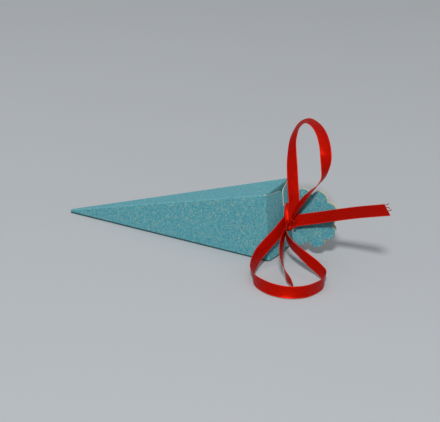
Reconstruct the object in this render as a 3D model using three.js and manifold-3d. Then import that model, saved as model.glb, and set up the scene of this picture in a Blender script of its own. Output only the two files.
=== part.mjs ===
import * as THREE from 'three';
import { mergeVertices } from 'three/addons/utils/BufferGeometryUtils.js';
import Module from 'manifold-3d';

// A long four-sided favour box folded from one sheet of card. It lies on one of its four walls, with its
// tip towards -X and its mouth towards +X. Two closing flaps meet over the mouth, and the petals that they
// end in stand out back to back. A narrow ribbon round their necks ties the box shut with a bow.
// Lengths are in millimetres and angles in degrees.

// The card and the four walls
const cardThickness = 0.45;
const mouthSide = 38; // outside width of a wall at the mouth
const wallLength = 136.5; // from the sharp apex that the walls aim at to the mouth, down a wall's middle
const tipCut = 7.3; // the part of that length that is cut away at the tip
const creaseSides = 14; // facets round a crease

// The glue tab, inside the lower back edge
const tabWidth = 7;
const tabTipGap = 16; // from the cut tip to the tab
const tabMouthGap = 8; // from the tab to the mouth
const tabTaper = 5; // how far each end of the tab slopes
const glueBite = 0.03; // the tab's card is pressed this far into the wall's

// The two dust flaps, folded in from the top and bottom walls
const dustFlapLength = 13;
const dustFlapRelief = 4; // each side starts this far in from the wall's corner
const dustFlapTaper = 2.5;
const dustFlapCorner = 3;
const dustFlapTuck = 6; // how far past square the flap is folded in

// The two closing flaps, folded in from the front and back walls to meet in the middle
const closingFlapRelief = 0.9; // each side starts this far in from the wall's corner
const closingFlapTaper = 2.6;
const closingFlapCorner = 2.6;
const gableRise = 3; // how far the meeting line stands out from the mouth
const petalGap = 0.2; // between the backs of the two petals, where they are hinged
const petalSplay = 1.5; // how far each petal leans out

// The neck and the scalloped petal that end each closing flap. Reaches run outwards from the meeting line,
// and heights up from the box's middle.
const neckTop = 8.2;
const neckBottom = -5.2;
const petalReach = 15.3;
const petalHeight = 1.8;
const petalTurn = -7.3; // the tie has pulled the petals round by this much
const lobes = [
  { turn: -112, reach: 12, radius: 4.8 },
  { turn: -67, reach: 12, radius: 4.8 },
  { turn: -28, reach: 12, radius: 4.8 },
  { turn: 0, reach: 9.2, radius: 4.8 },
  { turn: 28, reach: 12, radius: 4.8 },
  { turn: 67, reach: 12, radius: 4.8 },
  { turn: 112, reach: 12, radius: 4.8 },
];
const arcPieces = 9; // facets of each lobe

// The ribbon
const ribbonWidth = 6.35;
const ribbonThickness = 0.4;
const ribbonStep = 2.4; // length of one facet along the ribbon
const wrapWidth = 4.5; // the ribbon is gathered where it goes round the necks
const wrapClearance = 0.35; // between the ribbon and the card that it goes round
const wrapCorner = 0.9;
const knotRadius = 3.1;
const knotFlatness = 0.75;

const cardColour = '#4793a3';
const ribbonColour = '#a30f05';

const degree = Math.PI / 180;
const wallTilt = Math.asin(mouthSide / 2 / wallLength); // between a wall and the box's long middle line
const wallSpread = mouthSide / 2 / wallLength; // half a wall's width for each millimetre from the apex
const xAxis = new THREE.Vector3(1, 0, 0);
const yAxis = new THREE.Vector3(0, 1, 0);

const wasm = await Module();
wasm.setup();

// Joining shapes into one solid

function solidOf(geometry) {
  const bare = geometry.clone();
  bare.deleteAttribute('normal');
  bare.deleteAttribute('uv');
  const merged = mergeVertices(bare, 1e-5);
  return new wasm.Manifold(
    new wasm.Mesh({
      numProp: 3,
      vertProperties: new Float32Array(merged.attributes.position.array),
      triVerts: new Uint32Array(merged.index.array),
    })
  );
}

function joined(geometries) {
  return geometries.map(solidOf).reduce((whole, piece) => whole.add(piece));
}

function geometryOf(solid) {
  const mesh = solid.getMesh();
  const geometry = new THREE.BufferGeometry();
  geometry.setAttribute('position', new THREE.BufferAttribute(new Float32Array(mesh.vertProperties), 3));
  geometry.setIndex(new THREE.BufferAttribute(new Uint32Array(mesh.triVerts), 1));
  geometry.computeVertexNormals();
  return geometry;
}

// Folded card. Each panel is drawn in a plane of its own: x away from its fold, y along the fold and z out
// of the printed side, which lies at z = 0 with the card's thickness below it.

function panel(outline, place, depth = 0) {
  const geometry = new THREE.ExtrudeGeometry(outline, {
    depth: cardThickness,
    bevelEnabled: false,
    curveSegments: arcPieces,
  });
  geometry.translate(0, 0, -cardThickness - depth);
  return geometry.applyMatrix4(place);
}

// A crease is a rod of the card's thickness, which rounds the outside of the fold.
function crease(start, end) {
  const along = new THREE.Vector3().subVectors(end, start);
  const geometry = new THREE.CylinderGeometry(cardThickness, cardThickness, along.length(), creaseSides);
  const turn = new THREE.Quaternion().setFromUnitVectors(yAxis, along.clone().normalize());
  geometry.applyQuaternion(turn);
  const middle = start.clone().lerp(end, 0.5);
  return geometry.translate(middle.x, middle.y, middle.z);
}

function creaseAt(place, x, z, from, to) {
  const start = new THREE.Vector3(x, from, z).applyMatrix4(place);
  const end = new THREE.Vector3(x, to, z).applyMatrix4(place);
  return crease(start, end);
}

// Folds a new panel back from the printed side, about a crease under the printed face.
function foldedBack(place, x, angle) {
  return place
    .clone()
    .multiply(new THREE.Matrix4().makeTranslation(x, 0, -cardThickness))
    .multiply(new THREE.Matrix4().makeRotationY(angle))
    .multiply(new THREE.Matrix4().makeTranslation(0, 0, cardThickness));
}

// Folds a new panel forward over the printed side, about a crease on the printed face.
function foldedForward(place, x, angle) {
  return place
    .clone()
    .multiply(new THREE.Matrix4().makeTranslation(x, 0, 0))
    .multiply(new THREE.Matrix4().makeRotationY(-angle));
}

// Walls in order round the box: bottom, back, top, front. A wall's x runs from the apex to the mouth.
function wallPlace(number) {
  const along = new THREE.Vector3(Math.cos(wallTilt), 0, -Math.sin(wallTilt));
  const across = new THREE.Vector3(0, -1, 0);
  const outwards = new THREE.Vector3().crossVectors(along, across);
  const bottom = new THREE.Matrix4().makeBasis(along, across, outwards);
  return new THREE.Matrix4().makeRotationX((number * Math.PI) / 2).multiply(bottom);
}

const bottomWall = wallPlace(0);
const backWall = wallPlace(1);
const topWall = wallPlace(2);
const frontWall = wallPlace(3);
const mouthEnd = wallLength - cardThickness;

// Where a crease's middle lies beside the line in which two walls' printed planes meet: at the given
// depths under them.
function edgeOffset(firstWall, secondWall, firstDepth, secondDepth) {
  const first = new THREE.Vector3().setFromMatrixColumn(firstWall, 2);
  const second = new THREE.Vector3().setFromMatrixColumn(secondWall, 2);
  const likeness = first.dot(second);
  const share = 1 - likeness * likeness;
  return first
    .clone()
    .multiplyScalar((likeness * secondDepth - firstDepth) / share)
    .addScaledVector(second, (likeness * firstDepth - secondDepth) / share);
}

function longCrease(firstWall, secondWall, firstDepth, secondDepth) {
  const offset = edgeOffset(firstWall, secondWall, firstDepth, secondDepth);
  const corner = (x) => new THREE.Vector3(x, x * wallSpread, 0).applyMatrix4(firstWall).add(offset);
  return crease(corner(tipCut), corner(mouthEnd));
}

function wallOutline(lowInset, highInset) {
  const outline = new THREE.Shape();
  outline.moveTo(tipCut, lowInset - tipCut * wallSpread);
  outline.lineTo(mouthEnd, lowInset - mouthEnd * wallSpread);
  outline.lineTo(mouthEnd, mouthEnd * wallSpread - highInset);
  outline.lineTo(tipCut, tipCut * wallSpread - highInset);
  return outline;
}

function walls() {
  const fold = cardThickness;
  const seamFold = 2 * cardThickness; // the back wall stops above the bottom wall and the tab
  return [
    panel(wallOutline(0.1 * fold, fold), bottomWall),
    panel(wallOutline(fold, seamFold), backWall),
    panel(wallOutline(fold, fold), topWall),
    panel(wallOutline(fold, fold), frontWall),
    longCrease(bottomWall, frontWallFromBelow(), fold, fold),
    longCrease(backWall, bottomWall, fold, seamFold),
    longCrease(topWall, backWall, fold, fold),
    longCrease(frontWall, topWall, fold, fold),
  ];
}

function frontWallFromBelow() {
  return wallPlace(-1);
}

// The tab is the back wall's edge, folded in and glued flat on the inside of the bottom wall.
function glueTab() {
  const start = tipCut + tabTipGap;
  const end = wallLength - tabMouthGap;
  const edge = (x) => 2 * cardThickness - x * wallSpread;
  const width = Math.min(tabWidth, start * wallSpread);
  const outline = new THREE.Shape();
  outline.moveTo(start, edge(start));
  outline.lineTo(end, edge(end));
  outline.lineTo(end - tabTaper, edge(end) + tabWidth);
  outline.lineTo(start + tabTaper, edge(start) + width);
  return panel(outline, bottomWall, cardThickness - glueBite);
}

// A four-cornered flap whose far corners are rounded, from y = -halfRoot..halfRoot at its fold.
function flapOutline(length, halfRoot, taper, corner) {
  const halfEnd = halfRoot - taper;
  const outline = new THREE.Shape();
  const cornerStart = taper * (corner / length);
  outline.moveTo(0, -halfRoot);
  outline.lineTo(length - corner, -halfEnd - cornerStart);
  outline.quadraticCurveTo(length, -halfEnd, length, corner - halfEnd);
  outline.lineTo(length, halfEnd - corner);
  outline.quadraticCurveTo(length, halfEnd, length - corner, halfEnd + cornerStart);
  outline.lineTo(0, halfRoot);
  return outline;
}

function dustFlap(wall) {
  const halfRoot = mouthSide / 2 - dustFlapRelief;
  const place = foldedBack(wall, mouthEnd, 90 * degree + wallTilt + dustFlapTuck * degree);
  return [
    creaseAt(wall, mouthEnd, -cardThickness, -halfRoot, halfRoot),
    panel(flapOutline(dustFlapLength, halfRoot, dustFlapTaper, dustFlapCorner), place),
  ];
}

// The closing flap's slope, and its length from the fold to where its petal starts, so that the two petals
// stand back to back with their gap between them.
const gableAngle = Math.atan2(gableRise, mouthSide / 2);
const foldDistance = mouthEnd * Math.sin(wallTilt) - cardThickness * Math.cos(wallTilt);
const petalPlane = petalGap / 2 + cardThickness;
const closingFlapLength =
  (foldDistance + cardThickness * Math.sin(gableAngle) - petalPlane) / Math.cos(gableAngle);
const meetingReach =
  mouthEnd * Math.cos(wallTilt) +
  cardThickness * Math.sin(wallTilt) +
  cardThickness * Math.cos(gableAngle) +
  closingFlapLength * Math.sin(gableAngle);

function lobeCentre(lobe) {
  const turn = (lobe.turn + petalTurn) * degree;
  return new THREE.Vector2(petalReach + lobe.reach * Math.cos(turn), petalHeight + lobe.reach * Math.sin(turn));
}

// The outer point where two neighbouring lobes cross.
function notch(first, second) {
  const from = lobeCentre(first);
  const to = lobeCentre(second);
  const apart = from.distanceTo(to);
  const share = (apart * apart + first.radius ** 2 - second.radius ** 2) / (2 * apart);
  const rise = Math.sqrt(Math.max(first.radius ** 2 - share ** 2, 0));
  const along = to.clone().sub(from).divideScalar(apart);
  const outwards = new THREE.Vector2(along.y, -along.x);
  return from.clone().addScaledVector(along, share).addScaledVector(outwards, rise);
}

// Where the neck's straight side runs into the lobe next to it.
function neckMeeting(lobe, height) {
  const centre = lobeCentre(lobe);
  const rise = height - centre.y;
  return new THREE.Vector2(centre.x - Math.sqrt(Math.max(lobe.radius ** 2 - rise ** 2, 0)), height);
}

// The neck and the petal, drawn with x outwards and y up, from the bottom of the neck round to its top.
function petalOutline(upwards) {
  const outline = new THREE.Shape();
  const first = lobes[0];
  const last = lobes[lobes.length - 1];
  const stops = [neckMeeting(first, neckBottom)];
  lobes.slice(1).forEach((lobe, i) => stops.push(notch(lobes[i], lobe)));
  stops.push(neckMeeting(last, neckTop));
  outline.moveTo(0, neckBottom);
  lobes.forEach((lobe, i) => {
    const centre = lobeCentre(lobe);
    const from = stops[i].clone().sub(centre).angle();
    const to = stops[i + 1].clone().sub(centre).angle();
    outline.absarc(centre.x, centre.y, lobe.radius, from, to, false);
  });
  outline.lineTo(0, neckTop);
  if (upwards) return outline;
  return mirroredOutline(outline);
}

function mirroredOutline(outline) {
  const points = outline.getPoints(arcPieces).map((point) => new THREE.Vector2(point.x, -point.y));
  return new THREE.Shape(points.reverse());
}

// A closing flap's own y runs up on the front wall and down on the back wall.
function closingFlap(wall, upwards) {
  const halfRoot = mouthSide / 2 - closingFlapRelief;
  const flapPlace = foldedBack(wall, mouthEnd, 90 * degree + wallTilt - gableAngle);
  const petalPlace = foldedForward(flapPlace, closingFlapLength, 90 * degree - gableAngle + petalSplay * degree);
  const neck = upwards ? [neckBottom, neckTop] : [-neckTop, -neckBottom];
  return [
    creaseAt(wall, mouthEnd, -cardThickness, -halfRoot, halfRoot),
    panel(flapOutline(closingFlapLength, halfRoot, closingFlapTaper, closingFlapCorner), flapPlace),
    creaseAt(flapPlace, closingFlapLength, 0, neck[0], neck[1]),
    panel(petalOutline(upwards), petalPlace),
  ];
}

function foldedCard() {
  const solid = joined([
    ...walls(),
    glueTab(),
    ...dustFlap(topWall),
    ...dustFlap(bottomWall),
    ...closingFlap(frontWall, true),
    ...closingFlap(backWall, false),
  ]);
  return geometryOf(solid);
}

// The ribbon. Every stretch starts or ends in the knot, and its points are given from the knot's middle,
// in the position in which the box lies. Each list of directions says which way the ribbon's width points,
// evenly spaced along the stretch.

const upperLoop = {
  middle: [
    [-0.6, -0.4, 1.5],
    [-0.6, -0.2, 6],
    [-1, 2, 10.4],
    [-2.2, 7, 16],
    [-4.6, 12.6, 24],
    [-7, 17.2, 32],
    [-8, 20.6, 40.4],
    [-6.4, 21.6, 46.6],
    [-3, 20, 50.6],
    [1.3, 17.2, 52.8],
    [7, 12.9, 52.4],
    [12.2, 8.1, 49.4],
    [16.2, 3.4, 44.4],
    [18.4, 0.1, 38.8],
    [19.2, -2.4, 33.9],
    [19, -4.2, 28.7],
    [16.5, -5.4, 24.2],
    [12.5, -5.6, 19],
    [7.7, -4, 12.5],
    [3.6, -1.8, 6],
    [1.4, -0.8, 1.8],
  ],
  across: [
    [0.95, 0.3, 0.1],
    [0.95, 0.3, 0.1],
    [0.9, 0.4, 0.1],
    [0.7, 0.7, 0.1],
    [0.75, 0.65, 0],
    [0.85, 0.5, 0.2],
    [0.8, 0.6, 0.3],
    [-0.1, 0.95, -0.2],
    [-0.45, 0.8, 0.5],
    [-0.6, 0.6, 0.6],
  ],
};

const lowerLoop = {
  middle: [
    [-1, -1.2, -0.6],
    [-1.4, -6, -2],
    [-2.2, -12, -4.8],
    [-4, -18.6, -8],
    [-5.6, -27, -11.6],
    [-5, -37, -14.4],
    [-2.4, -47, -16.6],
    [2.6, -55.6, -17],
    [9.4, -61.6, -17],
    [17, -64.8, -17],
    [25, -64.2, -17],
    [31, -58.6, -17],
    [34, -49.8, -17],
    [34.6, -40, -16.8],
    [32.4, -31.4, -16.2],
    [27.6, -26.6, -14.4],
    [21.6, -25.2, -11.4],
    [15.6, -23.6, -8.6],
    [10.2, -19.6, -6.2],
    [5.6, -13, -3.8],
    [1.6, -4.6, -1.6],
  ],
  across: [
    [0.2, 0, 0.95],
    [0, -0.1, 1],
    [0, 0, 1],
    [0, 0, 1],
    [0, 0, 1],
    [0, 0, 1],
    [0, 0.1, 1],
    [-0.2, 0, 1],
  ],
};

const longTail = {
  middle: [
    [0.8, -1.2, -0.2],
    [8, -3.4, 2.6],
    [18, -6.6, 6.4],
    [30, -10.4, 11.2],
    [42, -14.8, 16],
    [53, -19.4, 20.2],
    [62, -23.6, 23.6],
  ],
  across: [
    [-0.1, 0.2, 0.95],
    [-0.2, 0.2, 0.95],
    [-0.25, 0.2, 0.95],
    [-0.3, 0.2, 0.95],
  ],
};

const shortTail = {
  middle: [
    [-0.4, -2, -1.6],
    [1, -8.6, -3.2],
    [3.4, -17.9, -4.8],
    [6.7, -28.4, -6.8],
    [10, -36.6, -9.2],
    [13.4, -42.4, -12],
    [17.2, -47, -14.8],
    [21.4, -51, -16.8],
  ],
  across: [
    [0.2, 0.3, 0.9],
    [-0.3, 0.4, 0.9],
    [-0.35, 0.5, 0.8],
    [-0.4, 0.5, 0.8],
  ],
};

function vectors(rows) {
  return rows.map((row) => new THREE.Vector3(...row));
}

function flatSection(width) {
  const half = width / 2;
  const edge = ribbonThickness / 2;
  const outline = new THREE.Shape();
  outline.moveTo(-edge, edge - half);
  outline.lineTo(0, -half);
  outline.lineTo(edge, edge - half);
  outline.lineTo(edge, half - edge);
  outline.lineTo(0, half);
  outline.lineTo(-edge, half - edge);
  return outline;
}

// Sweeps the flat ribbon along a route, turned so that its width follows the given directions.
function ribbonStretch(stretch) {
  const middle = new THREE.CatmullRomCurve3(vectors(stretch.middle), false, 'centripetal');
  const across = new THREE.CatmullRomCurve3(vectors(stretch.across), false, 'centripetal');
  middle.arcLengthDivisions = 600;
  middle.computeFrenetFrames = (steps) => {
    const frames = { tangents: [], normals: [], binormals: [] };
    for (let i = 0; i <= steps; i++) {
      const tangent = middle.getTangentAt(i / steps);
      const side = across.getPoint(i / steps);
      side.addScaledVector(tangent, -side.dot(tangent)).normalize();
      frames.tangents.push(tangent);
      frames.binormals.push(side);
      frames.normals.push(new THREE.Vector3().crossVectors(side, tangent));
    }
    return frames;
  };
  return new THREE.ExtrudeGeometry(flatSection(ribbonWidth), {
    steps: Math.round(middle.getLength() / ribbonStep),
    extrudePath: middle,
  });
}

function roundedRectangle(shape, low, high, half, corner) {
  shape.moveTo(-half + corner, low);
  shape.lineTo(half - corner, low);
  shape.absarc(half - corner, low + corner, corner, -Math.PI / 2, 0, false);
  shape.lineTo(half, high - corner);
  shape.absarc(half - corner, high - corner, corner, 0, Math.PI / 2, false);
  shape.lineTo(corner - half, high);
  shape.absarc(corner - half, high - corner, corner, Math.PI / 2, Math.PI, false);
  shape.lineTo(-half, low + corner);
  shape.absarc(corner - half, low + corner, corner, Math.PI, 1.5 * Math.PI, false);
  return shape;
}

// The turn of ribbon round both necks, drawn across the box's long middle line.
const wrapStart = cardThickness + wrapClearance; // clear of the crease at the meeting line
const neckSplay = (wrapStart + wrapWidth) * Math.sin(petalSplay * degree);
const wrapInside = petalPlane + neckSplay + wrapClearance;

function wrap() {
  const outer = roundedRectangle(
    new THREE.Shape(),
    neckBottom - wrapClearance - ribbonThickness,
    neckTop + wrapClearance + ribbonThickness,
    wrapInside + ribbonThickness,
    wrapCorner
  );
  outer.holes.push(
    roundedRectangle(
      new THREE.Path(),
      neckBottom - wrapClearance,
      neckTop + wrapClearance,
      wrapInside,
      wrapCorner - ribbonThickness
    )
  );
  const geometry = new THREE.ExtrudeGeometry(outer, { depth: wrapWidth, bevelEnabled: false, curveSegments: 4 });
  // From the drawing's x, y and z to the box's y, z and x
  const turn = new THREE.Matrix4().makeBasis(yAxis, new THREE.Vector3(0, 0, 1), xAxis);
  geometry.applyMatrix4(turn);
  geometry.translate(meetingReach + wrapStart, 0, 0);
  return geometry.applyMatrix4(lying);
}

const lying = new THREE.Matrix4().makeRotationY(-wallTilt); // from the box's own frame to the way it lies
const knotHeight = (neckTop + neckBottom) / 2;
const knotMiddle = new THREE.Vector3(
  meetingReach + wrapStart + wrapWidth / 2,
  -wrapInside - ribbonThickness / 2 - knotRadius * knotFlatness,
  knotHeight
).applyMatrix4(lying);

function knot() {
  const geometry = new THREE.SphereGeometry(knotRadius, 20, 12);
  geometry.scale(1, knotFlatness + 0.1, 1.1);
  return geometry.translate(knotMiddle.x, knotMiddle.y, knotMiddle.z);
}

function ribbonBow() {
  const stretches = [upperLoop, lowerLoop, longTail, shortTail].map((stretch) =>
    ribbonStretch(stretch).translate(knotMiddle.x, knotMiddle.y, knotMiddle.z)
  );
  return geometryOf(joined([wrap(), knot(), ...stretches]));
}

function meshOf(name, geometry, colour, roughness) {
  const material = new THREE.MeshStandardMaterial({ color: colour, roughness, metalness: 0 });
  const mesh = new THREE.Mesh(geometry, material);
  mesh.name = name;
  return mesh;
}

const card = foldedCard().applyMatrix4(lying);
card.computeBoundingBox();
const middleOfCard = card.boundingBox.getCenter(new THREE.Vector3());

const favourBox = new THREE.Group();
favourBox.add(meshOf('folded_card', card, cardColour, 0.85));
favourBox.add(meshOf('ribbon_bow', ribbonBow(), ribbonColour, 0.4));
favourBox.position.set(-middleOfCard.x, -middleOfCard.y, -card.boundingBox.min.z);

export default favourBox;
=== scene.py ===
from math import asin, cos, pi, radians, sin, sqrt, tan

import bmesh
import bpy
from mathutils import Matrix, Vector, noise


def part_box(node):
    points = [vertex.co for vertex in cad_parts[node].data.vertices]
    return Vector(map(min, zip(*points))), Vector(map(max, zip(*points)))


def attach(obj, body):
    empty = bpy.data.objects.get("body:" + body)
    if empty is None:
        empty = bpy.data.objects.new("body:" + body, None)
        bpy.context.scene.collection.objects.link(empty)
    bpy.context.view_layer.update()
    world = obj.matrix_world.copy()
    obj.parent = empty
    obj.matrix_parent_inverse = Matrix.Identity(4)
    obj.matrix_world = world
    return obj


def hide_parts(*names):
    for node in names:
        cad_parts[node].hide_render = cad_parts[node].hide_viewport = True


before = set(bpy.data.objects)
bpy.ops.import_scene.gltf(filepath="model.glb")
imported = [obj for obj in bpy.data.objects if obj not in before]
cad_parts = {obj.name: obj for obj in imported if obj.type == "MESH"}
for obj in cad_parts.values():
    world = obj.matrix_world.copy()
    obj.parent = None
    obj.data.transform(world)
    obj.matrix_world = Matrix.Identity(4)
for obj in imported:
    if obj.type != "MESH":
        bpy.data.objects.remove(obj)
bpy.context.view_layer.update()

# A cone favour box of folded card, lying on one wall, tied shut with a narrow satin ribbon.
# Sizes in the dictionaries are millimetres and degrees; the scene itself is in metres.
mm = 0.001
scene = bpy.context.scene
scene.view_settings.view_transform = "Standard"


# Camera, lamps and floor

photoView = {
    "focalPixels": 2000,  # focal length, in pixels of the photograph
    "imageWidth": 440,  # pixels
    "sensorWidth": 36,
    "azimuth": 20.83,  # round from -Y towards +X
    "elevation": 17.79,
    "roll": 3.83,  # the picture is turned clockwise by this much
    "distance": 1174.3,
    "lookAt": (-7.8, 50.6, 0),  # middle of the picture, on the floor
}


def makeCamera():
    turn, rise, roll = (radians(photoView[k]) for k in ("azimuth", "elevation", "roll"))
    forward = Vector((-sin(turn) * cos(rise), cos(turn) * cos(rise), -sin(rise)))
    level = Vector((cos(turn), sin(turn), 0))
    upright = level.cross(forward)
    right = level * cos(roll) + upright * sin(roll)
    up = upright * cos(roll) - level * sin(roll)
    data = bpy.data.cameras.new("camera")
    data.sensor_width = photoView["sensorWidth"]
    data.lens = photoView["focalPixels"] * photoView["sensorWidth"] / photoView["imageWidth"]
    data.clip_end = 50
    camera = bpy.data.objects.new("camera", data)
    scene.collection.objects.link(camera)
    place = Matrix((right, up, -forward)).transposed().to_4x4()
    place.translation = (Vector(photoView["lookAt"]) - forward * photoView["distance"]) * mm
    camera.matrix_world = place
    scene.camera = camera


studio = {
    "keyFrom": (0.45, -1.4, 1.0),  # direction from the box to the lamp
    "keyDistance": 4,  # metres
    "keySize": 0.42,
    "keyPower": 150,  # watts
    "overheadAt": (-0.1, 0.15, 1.5),
    "overheadSize": 1.1,
    "overheadPower": 3,
    "fillLevel": 0.36,
    "fillColour": (0.96, 0.98, 1.0),
    "floorSize": 12,
    "floorColour": (0.442, 0.462, 0.480),
    "floorShade": 0.985,  # of its faint darker clouds
    "floorCloud": 3,
}


def makeLamp(name, place, size, power):
    lamp = bpy.data.lights.new(name, "AREA")
    lamp.shape = "DISK"
    lamp.size = size
    lamp.energy = power
    holder = bpy.data.objects.new(name, lamp)
    holder.location = place
    holder.rotation_euler = place.to_track_quat("Z", "Y").to_euler()
    scene.collection.objects.link(holder)


def makeStudio():
    towards = Vector(studio["keyFrom"]).normalized()
    makeLamp("keyLamp", towards * studio["keyDistance"], studio["keySize"], studio["keyPower"])
    makeLamp("overhead", Vector(studio["overheadAt"]), studio["overheadSize"], studio["overheadPower"])
    world = bpy.data.worlds.new("softFill")
    world.use_nodes = True
    fill = world.node_tree.nodes["Background"]
    fill.inputs["Color"].default_value = (*studio["fillColour"], 1)
    fill.inputs["Strength"].default_value = studio["fillLevel"]
    scene.world = world
    bm = bmesh.new()
    bmesh.ops.create_grid(bm, x_segments=2, y_segments=2, size=studio["floorSize"] / 2)
    floor = objectFrom("floor", bm)
    floor.data.materials.append(floorMaterial())


# Node helpers

def newMaterial(name):
    material = bpy.data.materials.new(name)
    material.use_nodes = True
    nodes = material.node_tree.nodes
    return material, nodes, material.node_tree.links, nodes["Principled BSDF"]


def maths(tree, operation, first, second=None, third=None):
    node = tree.nodes.new("ShaderNodeMath")
    node.operation = operation
    for socket, value in zip(node.inputs, (first, second, third)):
        if value is None:
            continue
        if isinstance(value, (int, float)):
            socket.default_value = value
        else:
            tree.links.new(value, socket)
    return node.outputs[0]


def stepUp(tree, value, low, high):
    node = tree.nodes.new("ShaderNodeMapRange")
    node.interpolation_type = "SMOOTHSTEP"
    node.inputs["From Min"].default_value = low
    node.inputs["From Max"].default_value = high
    tree.links.new(value, node.inputs["Value"])
    return node.outputs["Result"]


def noiseOf(tree, vector, scale, detail=2, roughness=0.5, distortion=0):
    node = tree.nodes.new("ShaderNodeTexNoise")
    node.inputs["Scale"].default_value = scale
    node.inputs["Detail"].default_value = detail
    node.inputs["Roughness"].default_value = roughness
    node.inputs["Distortion"].default_value = distortion
    tree.links.new(vector, node.inputs["Vector"])
    return node.outputs["Fac"]


def mixed(tree, share, first, second):
    node = tree.nodes.new("ShaderNodeMix")
    node.data_type = "RGBA"
    for socket, value in ((node.inputs[0], share), (node.inputs[6], first), (node.inputs[7], second)):
        if isinstance(value, tuple):
            socket.default_value = (*value, 1)
        elif isinstance(value, (int, float)):
            socket.default_value = value
        else:
            tree.links.new(value, socket)
    return node.outputs[2]


def moved(tree, vector, shift):
    node = tree.nodes.new("ShaderNodeMapping")
    node.inputs["Location"].default_value = shift
    tree.links.new(vector, node.inputs["Vector"])
    return node.outputs["Vector"]


def bumped(tree, height, distance, strength):
    node = tree.nodes.new("ShaderNodeBump")
    node.inputs["Distance"].default_value = distance
    node.inputs["Strength"].default_value = strength
    tree.links.new(height, node.inputs["Height"])
    return node.outputs["Normal"]


def newGroup(name, inputs, outputs):
    group = bpy.data.node_groups.new(name, "ShaderNodeTree")
    for label, kind, value in inputs:
        socket = group.interface.new_socket(label, in_out="INPUT", socket_type=kind)
        if value is not None:
            socket.default_value = value
    for label, kind in outputs:
        group.interface.new_socket(label, in_out="OUTPUT", socket_type=kind)
    return group, group.nodes.new("NodeGroupInput"), group.nodes.new("NodeGroupOutput")


def placedGroup(tree, group, vector, **values):
    node = tree.nodes.new("ShaderNodeGroup")
    node.node_tree = group
    tree.links.new(vector, node.inputs["Vector"])
    for label, value in values.items():
        node.inputs[label].default_value = value
    return node


# Short curved fibres: thin level lines of a noise, broken into pieces by a second noise.
def fibreGroup():
    group, start, end = newGroup(
        "paperFibres",
        [
            ("Vector", "NodeSocketVector", None),
            ("Scale", "NodeSocketFloat", 400),
            ("Width", "NodeSocketFloat", 0.02),
            ("Share", "NodeSocketFloat", 0.5),
        ],
        [("Fibre", "NodeSocketFloat")],
    )
    line = group.nodes.new("ShaderNodeTexNoise")
    line.inputs["Detail"].default_value = 1
    line.inputs["Distortion"].default_value = 0.6
    group.links.new(start.outputs["Vector"], line.inputs["Vector"])
    group.links.new(start.outputs["Scale"], line.inputs["Scale"])
    away = maths(group, "ABSOLUTE", maths(group, "SUBTRACT", line.outputs["Fac"], 0.5))
    thin = maths(group, "SUBTRACT", 1, maths(group, "DIVIDE", away, start.outputs["Width"]))
    breaks = group.nodes.new("ShaderNodeTexNoise")
    breaks.inputs["Detail"].default_value = 2
    group.links.new(moved(group, start.outputs["Vector"], (0.31, 0.17, 0.05)), breaks.inputs["Vector"])
    group.links.new(maths(group, "MULTIPLY", start.outputs["Scale"], 0.8), breaks.inputs["Scale"])
    kept = maths(group, "SUBTRACT", breaks.outputs["Fac"], start.outputs["Share"])
    sharper = maths(group, "MULTIPLY", kept, 14)
    kept = maths(group, "MINIMUM", maths(group, "MAXIMUM", sharper, 0), 1)
    fibre = maths(group, "MULTIPLY", maths(group, "MAXIMUM", thin, 0), kept)
    group.links.new(fibre, end.inputs["Fibre"])
    return group


# Materials

paper = {
    "teal": (0.041, 0.214, 0.262),
    "deepTeal": (0.025, 0.160, 0.220),
    "paleTeal": (0.075, 0.264, 0.298),
    "fibreColour": (0.40, 0.43, 0.29),
    "wornColour": (0.16, 0.36, 0.39),
    "footShadeColour": (0.008, 0.040, 0.045),  # painted shade along the crease that lies on the floor
    "footShadeHeight": 0.0013,  # metres
    "nap": 0.22,  # soft light from the raised fibres, seen along the card
    "napColour": (0.30, 0.85, 1.0, 1),
    "boardColour": (0.52, 0.465, 0.355),
    "mottleScale": 1150,
    "blotScale": 920,
    "cloudScale": 45,
    "rubScale": 700,  # of the wear along the creases
    "grainScale": 1500,
    "grainDepth": 0.00006,  # metres
    "pulpScale": 420,
    "boardFleck": (0.42, 0.36, 0.27),
    "roughness": 0.8,
}

# Layers of fibres: where each one's pattern starts, how many to a metre, their width and their share
fibreLayers = (
    ((0, 0, 0), 780, 0.038, 0.50),
    ((0.13, 0.57, 0.31), 940, 0.042, 0.52),
    ((0.41, 0.23, 0.77), 560, 0.028, 0.51),
)


def objectVector(tree):
    return tree.nodes.new("ShaderNodeTexCoord").outputs["Object"]


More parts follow.
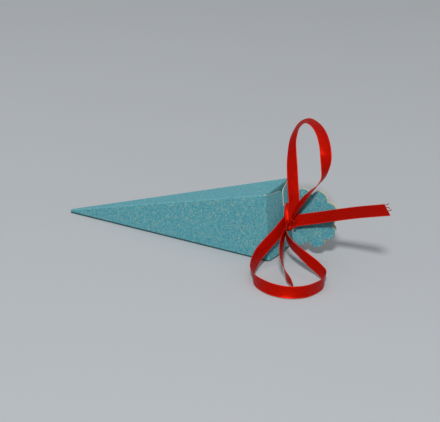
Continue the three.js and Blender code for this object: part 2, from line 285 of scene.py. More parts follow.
def printedCardMaterial(fibres):
    material, nodes, links, shader = newMaterial("printedCard")
    tree = material.node_tree
    place = objectVector(tree)
    mottle = noiseOf(tree, place, paper["mottleScale"], detail=3, roughness=0.6)
    cloud = noiseOf(tree, moved(tree, place, (0.2, 0.4, 0.1)), paper["cloudScale"], detail=2)
    colour = mixed(tree, stepUp(tree, mottle, 0.42, 0.62), paper["teal"], paper["paleTeal"])
    blots = noiseOf(tree, moved(tree, place, (0.7, 0.1, 0.3)), paper["blotScale"], detail=2)
    colour = mixed(tree, stepUp(tree, blots, 0.52, 0.68), colour, paper["deepTeal"])
    masks = []
    for shift, scale, width, share in fibreLayers:
        start = moved(tree, place, shift)
        layer = placedGroup(tree, fibres, start, Scale=scale, Width=width, Share=share)
        masks.append(layer.outputs["Fibre"])
    fibre = maths(tree, "MAXIMUM", maths(tree, "MAXIMUM", masks[0], masks[1]), masks[2])
    colour = mixed(tree, maths(tree, "MULTIPLY", fibre, 0.60), colour, paper["fibreColour"])
    paler = mixed(tree, 0.12, colour, paper["paleTeal"])
    colour = mixed(tree, stepUp(tree, cloud, 0.35, 0.75), colour, paler)
    worn = nodes.new("ShaderNodeAttribute")
    worn.attribute_name = "fold"
    rub = noiseOf(tree, moved(tree, place, (0.9, 0.8, 0.2)), paper["rubScale"], detail=3, roughness=0.7)
    wear = maths(tree, "MULTIPLY", worn.outputs["Fac"], stepUp(tree, rub, 0.35, 0.65))
    colour = mixed(tree, maths(tree, "MULTIPLY", wear, 0.5), colour, paper["wornColour"])
    # painted shade: within about a millimetre of the floor the printed colour turns near-black teal, for
    # the shade along the crease that lies there
    split = nodes.new("ShaderNodeSeparateXYZ")
    links.new(place, split.inputs[0])
    above = stepUp(tree, split.outputs["Z"], paper["footShadeHeight"] * 0.55, paper["footShadeHeight"])
    colour = mixed(tree, above, paper["footShadeColour"], colour)
    links.new(colour, shader.inputs["Base Color"])
    shader.inputs["Roughness"].default_value = paper["roughness"]
    shader.inputs["Specular IOR Level"].default_value = 0.25
    shader.inputs["Sheen Weight"].default_value = paper["nap"]
    shader.inputs["Sheen Roughness"].default_value = 0.6
    shader.inputs["Sheen Tint"].default_value = paper["napColour"]
    grain = noiseOf(tree, place, paper["grainScale"], detail=4, roughness=0.7)
    height = maths(tree, "ADD", maths(tree, "MULTIPLY", grain, 0.5), maths(tree, "MULTIPLY", fibre, 0.5))
    links.new(bumped(tree, height, paper["grainDepth"], 0.6), shader.inputs["Normal"])
    return material


def plainBoardMaterial(fibres, name, dirt):
    material, nodes, links, shader = newMaterial(name)
    tree = material.node_tree
    place = objectVector(tree)
    pulp = noiseOf(tree, place, paper["pulpScale"], detail=4, roughness=0.65)
    dark = tuple(value * dirt for value in paper["boardColour"])
    colour = mixed(tree, stepUp(tree, pulp, 0.35, 0.7), dark, paper["boardColour"])
    elsewhere = moved(tree, place, (0.3, 0.3, 0.9))
    speck = placedGroup(tree, fibres, elsewhere, Scale=300, Width=0.02, Share=0.56)
    fleck = maths(tree, "MULTIPLY", speck.outputs["Fibre"], 0.4)
    colour = mixed(tree, fleck, colour, paper["boardFleck"])
    links.new(colour, shader.inputs["Base Color"])
    shader.inputs["Roughness"].default_value = 0.9
    shader.inputs["Specular IOR Level"].default_value = 0.2
    links.new(bumped(tree, pulp, 0.00005, 0.6), shader.inputs["Normal"])
    return material


satin = {
    "red": (0.46, 0.006, 0.001),
    "deepRed": (0.30, 0.001, 0.0005),
    # painted highlight: a lighter orange-red on the stitches of the corded edge, standing for their
    # glints
    "stitchGlintRed": (0.66, 0.022, 0.008),
    "glossTint": (1.0, 0.22, 0.10, 1),
    "gloss": 0.14,
    "roughness": 0.33,
    "ribPitch": 0.36,  # spacing of the crosswise threads
    "stitchPitch": 0.95,  # spacing of the stitches of the corded edge
    "edgeShare": 0.07,  # width of the corded edge, as a share of the ribbon's
    "threadStretch": (34, 0.22, 1),  # threads are fine across the ribbon and long along it
    "weaveDepth": 0.00004,  # metres
    "metallic": 0.3,
    "anisotropic": 0.4,
}


# The woven surface, from a map whose X runs 0..1 across the ribbon and whose Y is its length in mm.
def weaveGroup():
    group, start, end = newGroup(
        "satinWeave",
        [
            ("Vector", "NodeSocketVector", None),
            ("Rib Pitch", "NodeSocketFloat", satin["ribPitch"]),
            ("Stitch Pitch", "NodeSocketFloat", satin["stitchPitch"]),
            ("Edge Share", "NodeSocketFloat", satin["edgeShare"]),
        ],
        [("Threads", "NodeSocketFloat"), ("Edge", "NodeSocketFloat"), ("Height", "NodeSocketFloat")],
    )
    split = group.nodes.new("ShaderNodeSeparateXYZ")
    group.links.new(start.outputs["Vector"], split.inputs[0])
    across, along = split.outputs[0], split.outputs[1]
    turns = maths(group, "DIVIDE", maths(group, "MULTIPLY", along, 2 * pi), start.outputs["Rib Pitch"])
    ribs = maths(group, "MULTIPLY_ADD", maths(group, "SINE", turns), 0.5, 0.5)
    stretched = group.nodes.new("ShaderNodeVectorMath")
    stretched.operation = "MULTIPLY"
    stretched.inputs[1].default_value = satin["threadStretch"]
    group.links.new(start.outputs["Vector"], stretched.inputs[0])
    threads = noiseOf(group, stretched.outputs[0], 1, detail=3, roughness=0.6)
    fromMiddle = maths(group, "ABSOLUTE", maths(group, "SUBTRACT", across, 0.5))
    inside = maths(group, "SUBTRACT", 0.5, start.outputs["Edge Share"])
    edge = maths(group, "GREATER_THAN", fromMiddle, inside)
    knots = maths(group, "DIVIDE", maths(group, "MULTIPLY", along, 2 * pi), start.outputs["Stitch Pitch"])
    stitch = maths(group, "MULTIPLY_ADD", maths(group, "SINE", knots), 0.5, 0.5)
    group.links.new(maths(group, "MULTIPLY_ADD", ribs, 0.25, threads), end.inputs["Threads"])
    # the Edge output marks the stitch dots of the corded edge, which the material paints with a glint
    # colour
    group.links.new(maths(group, "MULTIPLY", edge, stitch), end.inputs["Edge"])
    plain = maths(group, "MULTIPLY", ribs, maths(group, "SUBTRACT", 1, edge))
    height = maths(group, "MULTIPLY_ADD", maths(group, "MULTIPLY", edge, stitch), 2.0, plain)
    group.links.new(height, end.inputs["Height"])
    return group


def satinMaterial():
    material, nodes, links, shader = newMaterial("redSatin")
    tree = material.node_tree
    cloth = nodes.new("ShaderNodeUVMap")
    cloth.uv_map = "ribbon"
    weave = placedGroup(tree, weaveGroup(), cloth.outputs["UV"])
    body = mixed(tree, stepUp(tree, weave.outputs["Threads"], 0.4, 0.85), satin["deepRed"], satin["red"])
    # painted highlight: the stitch dots along the corded edge take the lighter glint red
    colour = mixed(tree, weave.outputs["Edge"], body, satin["stitchGlintRed"])
    links.new(colour, shader.inputs["Base Color"])
    shader.inputs["Roughness"].default_value = satin["roughness"]
    shader.inputs["Metallic"].default_value = satin["metallic"]
    shader.inputs["Specular IOR Level"].default_value = satin["gloss"]
    shader.inputs["Specular Tint"].default_value = satin["glossTint"]
    shader.inputs["Anisotropic"].default_value = satin["anisotropic"]
    shader.inputs["Anisotropic Rotation"].default_value = 0.25  # a quarter turn, across the threads
    tangent = nodes.new("ShaderNodeTangent")
    tangent.direction_type = "UV_MAP"
    tangent.uv_map = "ribbon"
    links.new(tangent.outputs[0], shader.inputs["Tangent"])
    links.new(bumped(tree, weave.outputs["Height"], satin["weaveDepth"], 0.55), shader.inputs["Normal"])
    return material


def floorMaterial():
    material, nodes, links, shader = newMaterial("paleFloor")
    tree = material.node_tree
    cloud = noiseOf(tree, objectVector(tree), studio["floorCloud"], detail=2)
    colour = studio["floorColour"]
    darker = tuple(value * studio["floorShade"] for value in colour)
    links.new(mixed(tree, stepUp(tree, cloud, 0.3, 0.7), darker, colour), shader.inputs["Base Color"])
    shader.inputs["Roughness"].default_value = 0.95
    shader.inputs["Specular IOR Level"].default_value = 0
    return material


# Meshes and pieces

def objectFrom(name, bm):
    mesh = bpy.data.meshes.new(name)
    bm.to_mesh(mesh)
    bm.free()
    piece = bpy.data.objects.new(name, mesh)
    scene.collection.objects.link(piece)
    return piece


def finished(piece, sharpAngle):
    graph = bpy.context.evaluated_depsgraph_get()
    mesh = bpy.data.meshes.new_from_object(piece.evaluated_get(graph))
    piece.modifiers.clear()
    piece.data = mesh
    mesh.name = piece.name
    mesh.shade_smooth()
    mesh.set_sharp_from_angle(angle=radians(sharpAngle))
    return piece


def declared(piece, node):
    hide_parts(node)
    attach(piece, "root")
    return piece


# The folded card

card = {
    "thickness": 0.45,
    "mouthSide": 38,
    "wallLength": 136.5,  # from the sharp apex to the mouth, down a wall's middle
    "tipCut": 7.3,  # the part of that length cut away at the tip
    "foldRadius": 0.62,  # outside of a crease
    "foldPieces": 5,
    "stations": 18,  # rows of faces along a wall
    "seamGap": 0.04,  # between the glue tab and the wall that it is glued to
    "tabStart": 16,  # from the cut tip
    "tabStop": 8,  # from the mouth
    "tabWidth": 7,
    "tabTipShare": 1.1,  # its width near the tip, as a share of half the box there
    "tabEndWidth": 0.4,
    "tabEndSlope": 1.4,
    "edgeGap": 0.05,  # between the sheet's first edge and the corner that it starts at
}
dustFlap = {"relief": 1, "length": 13, "taper": 4, "corner": 3, "lean": -15}
closingFlap = {"relief": 0.62, "taper": 1.4, "corner": 2.6, "rise": 3}
petal = {
    "gap": 0.2,
    "splay": 1.5,
    "valleyRadius": 0.15,
    "neckLow": -5.2,
    "neckHigh": 8.2,
    "reach": 15.3,
    "height": 1.8,
    "turn": -7.3,
    "lobeTurns": (-112, -67, -28, 0, 28, 67, 112),
    "lobeReaches": (12, 12, 12, 9.2, 12, 12, 12),
    "lobeRadius": 4.8,
    "arcPieces": 14,
    "curl": 0.12,  # how far the far edge of a petal bends outwards
    "edgeBeyond": 17,  # from the middle of the lobes to that edge
    "cuts": 12,  # rows of faces along the petal, and their length
    "cutSpacing": 2.3,
    "cutHeights": (-12, -9, 11, 14),  # and across it, above and below its neck
    "flanks": (1.6, 1.25),  # columns of faces beside the neck, as shares of its edges
    "valleyPieces": 4,
}

halfMouth = card["mouthSide"] / 2
wallTilt = asin(halfMouth / card["wallLength"])
# Bottom, front, top and back walls: which way each faces, and its way round the section
wallNormals = (Vector((0, -1)), Vector((-1, 0)), Vector((0, 1)), Vector((1, 0)))
wallRuns = (Vector((-1, 0)), Vector((0, 1)), Vector((1, 0)), Vector((0, -1)))
gable = Vector((halfMouth, closingFlap["rise"])).angle(Vector((1, 0)))


def columns(wall):
    if wall in (0, 2):
        root = halfMouth - dustFlap["relief"]
        return (-root, -root / 3, root / 3, root)
    root = halfMouth - closingFlap["relief"]
    end = root - closingFlap["taper"] - closingFlap["corner"]
    low, high = petal["neckLow"] * root / end, petal["neckHigh"] * root / end
    if wall == 3:
        low, high = -high, -low
    lowFlank, highFlank = petal["flanks"]
    return (-root, low * lowFlank, low, 0, high, high * highFlank, root)


# One section of the four walls, as rows of wall, place along the wall's run, share of a crease.
def sectionPlan():
    plan = [(0, "start", 0)]
    for wall in range(4):
        plan.append((wall, "low", 0))
        plan.extend((wall, column, 0) for column in columns(wall))
        plan.append((wall, "high", 0))
        plan.extend((wall, "arc", (i + 1) / card["foldPieces"]) for i in range(card["foldPieces"] - 1))
    plan.append((3, "arc", 1))
    return plan


def sectionPoint(row, half):
    wall, place, share = row
    radius = card["foldRadius"]
    normal, run = wallNormals[wall], wallRuns[wall]
    drop = card["thickness"] + card["seamGap"] if wall == 3 else 0
    lowEnd, highEnd = half - radius, half - radius - drop
    flatAtMouth = halfMouth - radius
    if place == "start":
        return normal * half - run * (half - card["edgeGap"])
    if place == "low":
        return normal * half - run * lowEnd
    if place == "high":
        return normal * half + run * highEnd
    if place == "arc":
        turn = share * pi / 2
        return normal * (half - radius + radius * cos(turn)) + run * (highEnd + radius * sin(turn))
    end = highEnd if place > 0 else lowEnd
    flat = flatAtMouth - (drop if place > 0 else 0)
    return normal * half + run * end * max(-1, min(1, place / flat))


def extruded(bm, edges):
    grown = bmesh.ops.extrude_edge_only(bm, edges=edges)["geom"]
    newEdges = [item for item in grown if isinstance(item, bmesh.types.BMEdge)]
    newVerts = [item for item in grown if isinstance(item, bmesh.types.BMVert)]
    return newEdges, newVerts


def folded(bm, edges, centre, axis, angle, pieces):
    for _ in range(pieces):
        edges, verts = extruded(bm, edges)
        turn = Matrix.Rotation(angle / pieces, 3, axis)
        bmesh.ops.rotate(bm, cent=centre, matrix=turn, verts=verts)
    return edges


def wallVector(wall, alongX, outwards):
    normal = wallNormals[wall]
    return Vector((alongX, normal.x * outwards, normal.y * outwards))


def flapWidths(length, root, taper, corner):
    end = root - taper
    start = Vector((length - corner, end + taper * corner / length))
    control = Vector((length, end))
    stop = Vector((length, end - corner))
    points = [(length * share, root - taper * share) for share in (0.35, 0.65)]
    cornerPieces = 5
    for i in range(cornerPieces + 1):
        share = i / cornerPieces
        point = start * (1 - share) ** 2 + control * (2 * share * (1 - share)) + stop * share**2
        points.append((point.x, point.y))
    return points


def wallEdges(edges, order, wall, plan, low, high):
    wanted = {
        k for k, row in enumerate(plan)
        if row[0] == wall and isinstance(row[1], (int, float)) and low - 1e-4 <= row[1] <= high + 1e-4
    }
    return [edge for edge in edges if all(vert[order] in wanted for vert in edge.verts)]


def addFlap(bm, edges, wall, flap, lean, length):
    root = halfMouth - flap["relief"]
    radius = card["foldRadius"]
    station = card["wallLength"] - radius
    wallWay = wallVector(wall, cos(wallTilt), sin(wallTilt))
    flapWay = wallVector(wall, sin(lean), -cos(lean))
    centre = wallWay * station - wallVector(wall, -sin(wallTilt), cos(wallTilt)) * radius
    axis = wallWay.cross(flapWay)
    edges = folded(bm, edges, centre, axis, wallWay.angle(flapWay), card["foldPieces"])
    reached, width = 0, root
    run = wallRuns[wall]
    for distance, half in flapWidths(length, root, flap["taper"], flap["corner"]):
        edges, verts = extruded(bm, edges)
        bmesh.ops.translate(bm, vec=flapWay * (distance - reached), verts=verts)
        narrower = half / width
        scaling = (1, narrower if run.x else 1, narrower if run.y else 1)
        bmesh.ops.scale(bm, vec=scaling, verts=verts)
        reached, width = distance, half
    return edges, flapWay


def lobeCentre(number):
    turn = radians(petal["lobeTurns"][number] + petal["turn"])
    reach = petal["lobeReaches"][number]
    return Vector((petal["reach"] + reach * cos(turn), petal["height"] + reach * sin(turn)))


def notch(number):
    first, second = lobeCentre(number), lobeCentre(number + 1)
    middle = (first + second) / 2
    apart = second - first
    rise = sqrt(petal["lobeRadius"] ** 2 - (apart.length / 2) ** 2)
    return middle + Vector((apart.y, -apart.x)).normalized() * rise


def neckMeeting(number, height):
    centre = lobeCentre(number)
    inside = max(0, petal["lobeRadius"] ** 2 - (height - centre.y) ** 2)
    return Vector((centre.x - sqrt(inside), height))


# The scalloped petal, in the plane that its neck leaves the fold in.
def addPetal(bm, edges, corner, outwards, normal):
    upwards = Vector((0, 0, 1))
    ends = sorted({vert for edge in edges for vert in edge.verts}, key=lambda vert: vert.co.z)
    lowest, highest = ends[0], ends[-1]

    def inPlane(point):
        return corner + outwards * point.x + upwards * point.y

    count = len(petal["lobeTurns"])
    stops = [neckMeeting(0, petal["neckLow"])] + [notch(k) for k in range(count - 1)]
    stops.append(neckMeeting(count - 1, petal["neckHigh"]))
    vert = bm.verts.new(inPlane(stops[0]))
    bm.edges.new((lowest, vert))
    for k in range(count):
        centre = lobeCentre(k)
        sweep = -(stops[k] - centre).angle_signed(stops[k + 1] - centre) % (2 * pi)
        spun = bmesh.ops.spin(
            bm, geom=[vert], cent=inPlane(centre), axis=outwards.cross(upwards), angle=sweep,
            steps=petal["arcPieces"], use_duplicate=False,
        )
        vert = next(item for item in spun["geom_last"] if isinstance(item, bmesh.types.BMVert))
    bm.edges.new((vert, highest))
    outline = [edge for edge in bm.edges if edge.is_wire] + list(edges)
    face = bmesh.ops.contextual_create(bm, geom=outline)["faces"]
    for cut in range(petal["cuts"]):
        divide(bm, face, corner + outwards * ((cut + 1) * petal["cutSpacing"]), outwards)
    for height in sorted((petal["neckLow"], 0, petal["neckHigh"], *petal["cutHeights"])):
        divide(bm, face, upwards * height, upwards)
    far = petal["reach"] + petal["edgeBeyond"]
    for vert in {vert for item in face for vert in item.verts}:
        along = max(0, (vert.co - corner).dot(outwards) - petal["reach"] / 2) / far
        vert.co += normal * petal["curl"] * along**2


def divide(bm, faces, point, normal):
    geom = list({item for face in faces for item in (face, *face.edges, *face.verts)})
    cut = bmesh.ops.bisect_plane(bm, geom=geom, plane_co=point, plane_no=normal, dist=1e-4)
    faces[:] = list({item for item in cut["geom"] if isinstance(item, bmesh.types.BMFace)})


def addClosingFlap(bm, edges, wall, order, plan):
    radius, lean = card["foldRadius"], gable
    station = card["wallLength"] - radius
    foldDistance = station * sin(wallTilt) - radius * cos(wallTilt)
    petalPlane = petal["gap"] / 2 + card["thickness"]
    straight = (foldDistance + radius * sin(lean) - petalPlane) / cos(lean)
    turn = pi / 2 - lean + radians(petal["splay"])  # of the fold between flap and neck
    tangent = petal["valleyRadius"] * tan(turn / 2)
    edges, flapWay = addFlap(bm, edges, wall, closingFlap, lean, straight - tangent)
    low, high = columns(wall)[2], columns(wall)[4]
    neck = wallEdges(edges, order, wall, plan, low, high)
    printed = wallVector(wall, cos(lean), sin(lean))
    ridge = neck[0].verts[0].co.copy()
    ridge.z = 0
    splay = radians(petal["splay"])
    petalWay = wallVector(wall, cos(splay), sin(splay))
    valley = ridge + printed * petal["valleyRadius"]
    neck = folded(bm, neck, valley, flapWay.cross(petalWay), turn, petal["valleyPieces"])
    petalNormal = wallVector(wall, -sin(splay), cos(splay))
    addPetal(bm, neck, ridge + flapWay * tangent, petalWay, petalNormal)


# The sharp apex that the walls would run to, in millimetres.
def apex():
    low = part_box("folded_card")[0]
    return Vector((low.x / mm - card["tipCut"] * cos(2 * wallTilt), 0, 0))


def boxToRow():
    return Matrix.Scale(mm, 4) @ Matrix.Translation(apex()) @ Matrix.Rotation(-wallTilt, 4, "Y")


def makeCard():
    plan = sectionPlan()
    bm = bmesh.new()
    order = bm.verts.layers.int.new("order")
    first, last = card["tipCut"], card["wallLength"] - card["foldRadius"]

    def place(vert, station):
        point = sectionPoint(plan[vert[order]], station * sin(wallTilt))
        vert.co = (station * cos(wallTilt), point.x, point.y)

    verts = [bm.verts.new() for _ in plan]
    for k, vert in enumerate(verts):
        vert[order] = k
        place(vert, first)
    edges = [bm.edges.new(pair) for pair in zip(verts, verts[1:])]
    tab = []
    for i in range(card["stations"]):
        station = first + (last - first) * (i + 1) / card["stations"]
        edges, verts = extruded(bm, edges)
        for vert in verts:
            place(vert, station)
        tab.extend(vert for vert in verts if vert[order] == len(plan) - 1)
    addTab(bm, tab, first)
    for wall in (0, 2):
        root = columns(wall)[-1]
        strip = wallEdges(edges, order, wall, plan, -root, root)
        addFlap(bm, strip, wall, dustFlap, radians(dustFlap["lean"]), dustFlap["length"])
    for wall in (1, 3):
        root = columns(wall)[-1]
        strip = wallEdges(edges, order, wall, plan, -root, root)
        addClosingFlap(bm, strip, wall, order, plan)
    bmesh.ops.recalc_face_normals(bm, faces=bm.faces)
    top = max(bm.faces, key=lambda face: face.calc_center_median().z)
    if top.normal.z < 0:
        bmesh.ops.reverse_faces(bm, faces=bm.faces)
    markFolds(bm, plan, order)
    bmesh.ops.transform(bm, matrix=boxToRow(), verts=bm.verts)
    piece = objectFrom("foldedCard", bm)
    thick = piece.modifiers.new("cardThickness", "SOLIDIFY")
    thick.thickness = card["thickness"] * mm
    thick.offset = -1
    thick.use_even_offset = False  # an even offset throws spikes out of the sharp folds
    thick.material_offset = 1
    thick.material_offset_rim = 2
    fibres = fibreGroup()
    piece.data.materials.append(printedCardMaterial(fibres))
    piece.data.materials.append(plainBoardMaterial(fibres, "plainBoard", 0.86))
    piece.data.materials.append(plainBoardMaterial(fibres, "cutEdge", 0.93))
    finished(piece, sharpAngle=32)
    declared(piece, "folded_card")
    print("folded card made:", len(piece.data.polygons), "faces")


# The glue tab, folded in from the back wall to lie on the inside of the bottom wall.
def addTab(bm, line, first):
    start = first + card["tabStart"]
    stop = card["wallLength"] - card["tabStop"]
    line = [vert for vert in line if start < vert.co.x / cos(wallTilt) < stop]
    edges = [edge for a, b in zip(line, line[1:]) for edge in a.link_edges if b in edge.verts]
    edges, verts = extruded(bm, edges)
    for vert in verts:
        station = vert.co.x / cos(wallTilt)
        slope = min(station - start, stop - station)  # distance from the tab's nearer end
        nearTip = card["tabTipShare"] * station * sin(wallTilt)
        nearEnd = card["tabEndWidth"] + card["tabEndSlope"] * slope
        vert.co.y -= min(card["tabWidth"], nearTip, nearEnd)


# An attribute of 1 along the creases, for the wear in the printed card.
def markFolds(bm, plan, order):
    fold = bm.verts.layers.float.new("fold")
    for vert in bm.verts:
        row = plan[vert[order]]
        vert[fold] = 1.0 if row[1] in ("arc", "low", "high") else 0.0


# The ribbon. Points run from the knot's middle, and each list of directions says which way the ribbon's
# width points, evenly spaced along its stretch.

ribbon = {
    "width": 6.35,
    "thickness": 0.22,
    "edgeThickness": 0.38,
    "cup": 0.18,  # how far the ribbon's middle bows out of its edges
    "knotCup": 0.35,  # and the middle of the knot's short bands
    "ring": 0.475,  # length of one row of faces
    "stitch": 0.95,  # length of one stitch of the corded edge
    "stitchDepth": 0.3,  # how much thinner that edge is between stitches, as a share
    "stitchBulge": 0.07,
    "slantReach": 9,  # a slanted cut turns the threads of this much of the ribbon's end
    "routePieces": 24,  # of the line between two points
    "knotMiddle": (140.5, -3.56, 20.5),  # from the sharp apex, with the box lying down
}

upperLoop = {
    "length": 137,
    "middle": [
        (1.8, -0.8, 1.5),
        (2.3, -0.4, 6),
        (2.2, 0.2, 10.4),
        (1.2, 1.2, 15.6),
        (-0.6, 4, 20.2),
        (-3, 8.6, 25.4),
        (-5.9, 14.4, 32.5),
        (-7.6, 19.2, 40.4),
        (-6.4, 21.6, 46.6),
        (-3, 20, 50.6),
        (1.3, 17.2, 52.8),
        (7, 12.9, 52.4),
        (12.2, 8.1, 49.4),
        (16.2, 3.4, 44.4),
        (18.4, 0.1, 38.8),
        (19.2, -2.4, 33.9),
        (19, -4.2, 28.7),
        (16.5, -5.4, 24.2),
        (12.5, -5.6, 19),
        (7.7, -4, 12.5),
        (3.6, -1.8, 6),
        (1.4, -0.8, 1.8),
    ],
    "across": [
        (0.98, 0, 0.1),
        (0.98, 0, 0.1),
        (0.97, -0.15, 0.1),
        (0.75, -0.65, 0),
        (0.2, -0.95, -0.1),
        (-0.6, -0.8, -0.1),
        (-0.8, -0.6, -0.3),
        (0.1, -0.95, 0.2),
        (0.33, -0.85, -0.38),
        (0.42, -0.8, -0.42),
    ],
}

lowerLoop = {
    "length": 168,
    "middle": [
        (-1, -1.2, -0.6),
        (-1.4, -6, -2),
        (-2.2, -12, -4.8),
        (-4, -18.6, -8),
        (-5.6, -27, -11.6),
        (-5, -37, -14.4),
        (-2.4, -47, -16.6),
        (2.6, -55.6, -17),
        (9.4, -61.6, -17),
        (17, -64.8, -17),
        (25, -64.2, -17),
        (31.6, -58.8, -17),
        (35, -49.8, -17),
        (35.8, -40, -16.8),
        (33.2, -31.4, -16.2),
        (27.6, -26.6, -14.4),
        (21.6, -25.2, -11.4),
        (15.6, -23.6, -8.6),
        (9.4, -19.6, -6.6),
        (3.9, -13, -4.6),
        (0.6, -4.8, -2.2),
    ],
    "across": [
        (-0.3, 0, 0.9),
        (-0.6, -0.1, 0.75),
        (-0.35, 0, 0.93),
        (0, 0.2, 1),
        (0, 0.42, 0.9),
        (0, 0.3, 0.95),
        (0, -0.25, 0.97),
        (0.05, -0.45, 0.9),
    ],
}

longTail = {
    "length": 70,
    "slant": -0.55,  # of its cut end, as a share of the width
    "middle": [
        (0.8, -1.2, -0.2),
        (7.3, -1.6, 2),
        (16.6, -3, 5.2),
        (28.9, -7.4, 10.2),
        (41.3, -13, 15.4),
        (53, -19.4, 20.2),
        (62, -23.6, 23.6),
    ],
    "across": [(-0.1, 0.2, 0.95), (-0.2, 0.2, 0.95), (-0.25, 0.2, 0.95), (-0.3, 0.2, 0.95)],
}

shortTail = {
    "length": 60,
    "tipFrom": 0.8,  # where it starts to narrow, and to what share of its width
    "tipWidth": 0.3,
    "middle": [
        (0.4, -2, -1.6),
        (1.8, -8.6, -3.2),
        (3.7, -17.9, -4.8),
        (6.7, -28.4, -6.8),
        (10, -36.6, -9.2),
        (13.4, -42.4, -12),
        (17.2, -47, -14.8),
        (21.4, -51, -16.4),
        (23.2, -53.4, -17),
    ],
    "across": [(0.2, 0.3, 0.9), (-0.3, 0.1, 0.95), (-0.38, -0.1, 0.9), (-0.4, 0.5, 0.8)],
}


# One span of a smooth curve through points, with speeds that keep it from looping where they lie close.
def splineSpan(before, start, stop, after, share):
    first = max((start - before).length, 1e-4) ** 0.5
    middle = max((stop - start).length, 1e-4) ** 0.5
    last = max((after - stop).length, 1e-4) ** 0.5
    ahead = (stop - start) / middle
    leave = ((start - before) / first - (stop - before) / (first + middle) + ahead) * middle
    arrive = (ahead - (after - start) / (middle + last) + (after - stop) / last) * middle
    square = (stop - start) * 3 - leave * 2 - arrive
    cube = (start - stop) * 2 + leave + arrive
    return start + leave * share + square * share**2 + cube * share**3


def splineThrough(rows, pieces):
    points = [Vector(row) for row in rows]
    points = [points[0] * 2 - points[1], *points, points[-1] * 2 - points[-2]]
    line = [
        splineSpan(*points[i:i + 4], k / pieces)
        for i in range(len(points) - 3)
        for k in range(pieces)
    ]
    return line + [points[-2]]


def evenly(line, count):
    lengths = [0]
    for a, b in zip(line, line[1:]):
        lengths.append(lengths[-1] + (b - a).length)
    spaced, k = [], 0
    for i in range(count + 1):
        wanted = lengths[-1] * i / count
        while k < len(line) - 2 and lengths[k + 1] < wanted:
            k += 1
        share = (wanted - lengths[k]) / max(lengths[k + 1] - lengths[k], 1e-9)
        spaced.append(line[k].lerp(line[k + 1], share))
    return spaced, lengths[-1]


def directionAt(directions, share):
    at = share * (len(directions) - 1)
    k = min(int(at), len(directions) - 2)
    return directions[k].lerp(directions[k + 1], at - k)


# Half of a section of the ribbon: share across, and thickness as shares of the cloth's and of the edge's.
halfSection = (
    (0.0, 1, 0), (0.22, 1, 0), (0.45, 1, 0), (0.66, 1, 0), (0.80, 1, 0),
    (0.86, 1, 0), (0.90, 0, 0.85), (0.94, 0, 1), (0.98, 0, 0.85), (1.0, 0, 0.4),
)


def sectionOf(width, along, cup):
    pulse = 0.5 + 0.5 * sin(2 * pi * along / ribbon["stitch"])
    right = []
    for share, cloth, edge in halfSection:
        corded = ribbon["edgeThickness"] / 2 * (1 - ribbon["stitchDepth"] * (1 - pulse))
        thick = cloth * ribbon["thickness"] / 2 + edge * corded
        bulge = ribbon["stitchBulge"] * pulse if share > 0.97 else 0
        reach = share * (width / 2 + bulge)
        right.append((reach, thick, cup * (1 - share**2)))
    front = [(-reach, bow + thick) for reach, thick, bow in reversed(right[1:])]
    front += [(reach, bow + thick) for reach, thick, bow in right]
    back = [(reach, bow - thick) for reach, thick, bow in reversed(right)]
    back += [(-reach, bow - thick) for reach, thick, bow in right[1:]]
    return front + back


# A band of ribbon along a line. Its width and cup may change along it.
def bandMesh(line, sides, widthAt, cupAt, length, closed=False, slant=0):
    rings = len(line)
    size = len(sectionOf(ribbon["width"], 0, 0))
    bm = bmesh.new()
    bmesh.ops.create_grid(bm, x_segments=rings - 1, y_segments=size, size=0.5)
    uvMap = bm.loops.layers.uv.new("ribbon")
    ringOf, sideOf = {}, {}
    for vert in bm.verts:
        ringOf[vert] = round((vert.co.x + 0.5) * (rings - 1))
        sideOf[vert] = round((vert.co.y + 0.5) * size)
    sections = []
    for i, point in enumerate(line):
        share = i / (rings - 1)
        if closed:
            ahead, behind = line[i + 1 if i < rings - 1 else 1], line[i - 1 if i > 0 else -2]
        else:
            ahead, behind = line[min(i + 1, rings - 1)], line[max(i - 1, 0)]
        tangent = (ahead - behind).normalized()
        side = sides(share)
        side = (side - tangent * side.dot(tangent)).normalized()
        face = side.cross(tangent)
        outline = sectionOf(widthAt(share), share * length, cupAt(share))
        skew = slant * max(0, 1 - (1 - share) * length / ribbon["slantReach"])
        sections.append([point + side * u + face * v + tangent * (u * skew) for u, v in outline])
    columnsAcross = [u / ribbon["width"] + 0.5 for u, _ in sectionOf(ribbon["width"], 0, 0)]
    for face in bm.faces:
        for loop in face.loops:
            column = sideOf[loop.vert] % size
            loop[uvMap].uv = (columnsAcross[column], ringOf[loop.vert] / (rings - 1) * length)
    for vert in bm.verts:
        vert.co = sections[ringOf[vert]][sideOf[vert] % size]
    bmesh.ops.remove_doubles(bm, verts=bm.verts, dist=1e-5)
    if not closed:
        ends = [edge for edge in bm.edges if edge.is_boundary]
        bmesh.ops.holes_fill(bm, edges=ends, sides=0)
    bmesh.ops.recalc_face_normals(bm, faces=bm.faces)
    return bm


def knotToRow():
    return Matrix.Scale(mm, 4) @ Matrix.Translation(apex() + Vector(ribbon["knotMiddle"]))


def steady(value):
    return lambda share: value


def lengthOf(line):
    return sum((b - a).length for a, b in zip(line, line[1:]))


def makeBand(name, line, sides, material, widthAt=None, cupAt=None, closed=False, slant=0):
    spaced, length = evenly(line, max(12, round(lengthOf(line) / ribbon["ring"])))
    widthAt = widthAt or steady(ribbon["width"])
    cupAt = cupAt or steady(ribbon["cup"])
    bm = bandMesh(spaced, sides, widthAt, cupAt, length, closed, slant)
    bmesh.ops.transform(bm, matrix=knotToRow(), verts=bm.verts)
    piece = objectFrom(name, bm)
    piece.data.materials.append(material)
    finished(piece, sharpAngle=50)
    return declared(piece, "ribbon_bow"), spaced


def makeStretch(name, stretch, material, widthAt=None):
    line = splineThrough(stretch["middle"], ribbon["routePieces"])
    directions = [Vector(row) for row in stretch["across"]]
    piece, spaced = makeBand(
        name, line, lambda share: directionAt(directions, share), material,
        widthAt=widthAt, slant=stretch.get("slant", 0),
    )
    print(name, "made,", round(lengthOf(spaced), 1), "mm")


# The turns round the necks and the knot itself

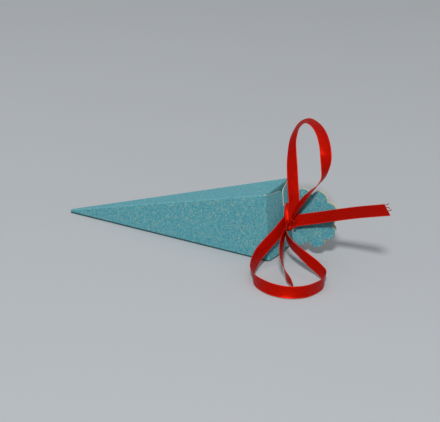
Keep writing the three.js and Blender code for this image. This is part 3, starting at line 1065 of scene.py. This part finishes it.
knotBands = {
    "wrapUnder": {
        "width": 4.4,
        "middle": [
            (-1.3, 1.6, 7.1), (-1.3, 1.9, 7.7), (-1.3, 2.6, 8.0), (-1.3, 3.6, 8.1), (-1.3, 4.6, 8.0),
            (-1.3, 5.3, 7.7), (-1.3, 5.5, 6.9), (-1.3, 5.5, 0.5), (-1.3, 5.4, -5.9), (-1.3, 4.8, -6.7),
            (-1.3, 3.6, -6.9), (-1.3, 2.4, -6.7), (-1.3, 1.7, -5.9), (-1.3, 1.6, 0.5), (-1.3, 1.6, 7.1),
        ],
        "across": [(1, 0, 0.14), (1, 0, 0.14)],
        "closed": True,
    },
    "wrapOver": {
        "width": 3.4,
        "middle": [
            (-2.2, 5.0, 8.5), (-1.9, 4.0, 8.9), (-1.5, 2.4, 8.9), (-0.9, 0.4, 8.1), (-0.3, -1.2, 6.4),
            (0.3, -2.4, 4.4), (0.8, -3.1, 2.4), (1.2, -3.3, 0.6), (1.4, -2.8, -0.9),
        ],
        "across": [(1, 0.2, 0.1), (0.92, 0.2, 0.3), (0.9, 0.3, 0.33), (0.9, 0.3, 0.35)],
    },
    "knotBand": {
        "width": 4.2,
        "middle": [
            (-1.6, 1.6, 1.6), (-2.0, 0.2, 2.1), (-1.7, -1.4, 1.9), (-0.7, -2.5, 0.8), (0.2, -2.8, -0.8),
            (0.5, -2.3, -2.5), (0.4, -0.9, -3.5), (0.2, 0.8, -3.3),
        ],
        "across": [(0.7, 0.2, 0.7), (0.8, 0.1, 0.6), (0.95, 0, 0.3), (0.95, 0, 0.3)],
    },
    "knotCurl": {
        "width": 4.4,
        "middle": [
            (0.4, -1.4, 0.6), (1.4, -2.6, 0.4), (2.8, -3.3, -0.1), (4.2, -3.2, -0.6), (5.0, -2.2, -1),
            (4.6, -1.1, -1.2), (3.4, -0.6, -1.2), (1.8, -0.6, -1),
        ],
        "across": [(0, -0.3, 1), (0.1, -0.4, 0.9), (0.15, -0.3, 0.9), (0.1, 0.2, 0.95)],
    },
    "knotTip": {
        "width": 2.2,
        "middle": [(1.2, -1.2, -1.6), (1.5, -1.9, -3), (1.7, -2.2, -4.4)],
        "across": [(0.9, 0.2, 0.2), (0.8, 0.5, 0.2)],
    },
}


knotCore = {
    "radii": (2.3, 1.7, 2.5),
    "ridges": 0.07,  # depth of the folds in it, as a share
    "lumps": 0.10,
}

# Threads that have come loose at the long tail's cut end
looseThreads = {
    "width": 0.3,
    "side": (0, 0.5, 1),
    "routes": [
        [(60.4, -23.6, 26.1), (61.8, -24.3, 26.6), (62.7, -24.6, 27.6)],
        [(61.2, -23.6, 25), (62.9, -24, 25.2), (63.6, -24.6, 24.8)],
        [(62, -23.9, 23.4), (63.6, -24.5, 23.7), (64.6, -24.4, 24.5)],
    ],
}


def makeThreads(material):
    for number, route in enumerate(looseThreads["routes"], 1):
        side = steady(Vector(looseThreads["side"]))
        makeBand(
            f"looseThread{number}", splineThrough(route, 8), side, material,
            widthAt=steady(looseThreads["width"]), cupAt=steady(0),
        )


def makeKnot(material):
    for name, band in knotBands.items():
        directions = [Vector(row) for row in band["across"]]
        line = splineThrough(band["middle"], 16)
        makeBand(
            name, line, lambda share: directionAt(directions, share), material,
            widthAt=steady(band["width"]), cupAt=steady(ribbon["knotCup"]),
            closed=band.get("closed", False),
        )
    bm = bmesh.new()
    bmesh.ops.create_icosphere(bm, subdivisions=4, radius=1)
    for vert in bm.verts:
        turn = vert.co.z * 7.2 + vert.co.x * 4.8
        swell = 1 + knotCore["ridges"] * sin(turn) + knotCore["lumps"] * noise.noise(vert.co * 1.7)
        vert.co = vert.co * Vector(knotCore["radii"]) * swell
    uvMap = bm.loops.layers.uv.new("ribbon")
    for face in bm.faces:
        for loop in face.loops:
            loop[uvMap].uv = (0.5 + loop.vert.co.x / 12, loop.vert.co.z)
    bmesh.ops.transform(bm, matrix=knotToRow(), verts=bm.verts)
    core = objectFrom("knotCore", bm)
    core.data.materials.append(material)
    finished(core, sharpAngle=60)
    declared(core, "ribbon_bow")
    print("knot made")


def tipped(shareFrom, narrow):
    def widthAt(share):
        return ribbon["width"] * (1 - (1 - narrow) * max(0, (share - shareFrom) / (1 - shareFrom)))
    return widthAt


def makeRibbon():
    material = satinMaterial()
    makeStretch("upperLoop", upperLoop, material)
    makeStretch("lowerLoop", lowerLoop, material)
    makeStretch("longTail", longTail, material)
    makeThreads(material)
    narrowing = tipped(shortTail["tipFrom"], shortTail["tipWidth"])
    makeStretch("shortTail", shortTail, material, narrowing)
    makeKnot(material)


makeCamera()
makeRibbon()
makeCard()
makeStudio()
print("studio lit")
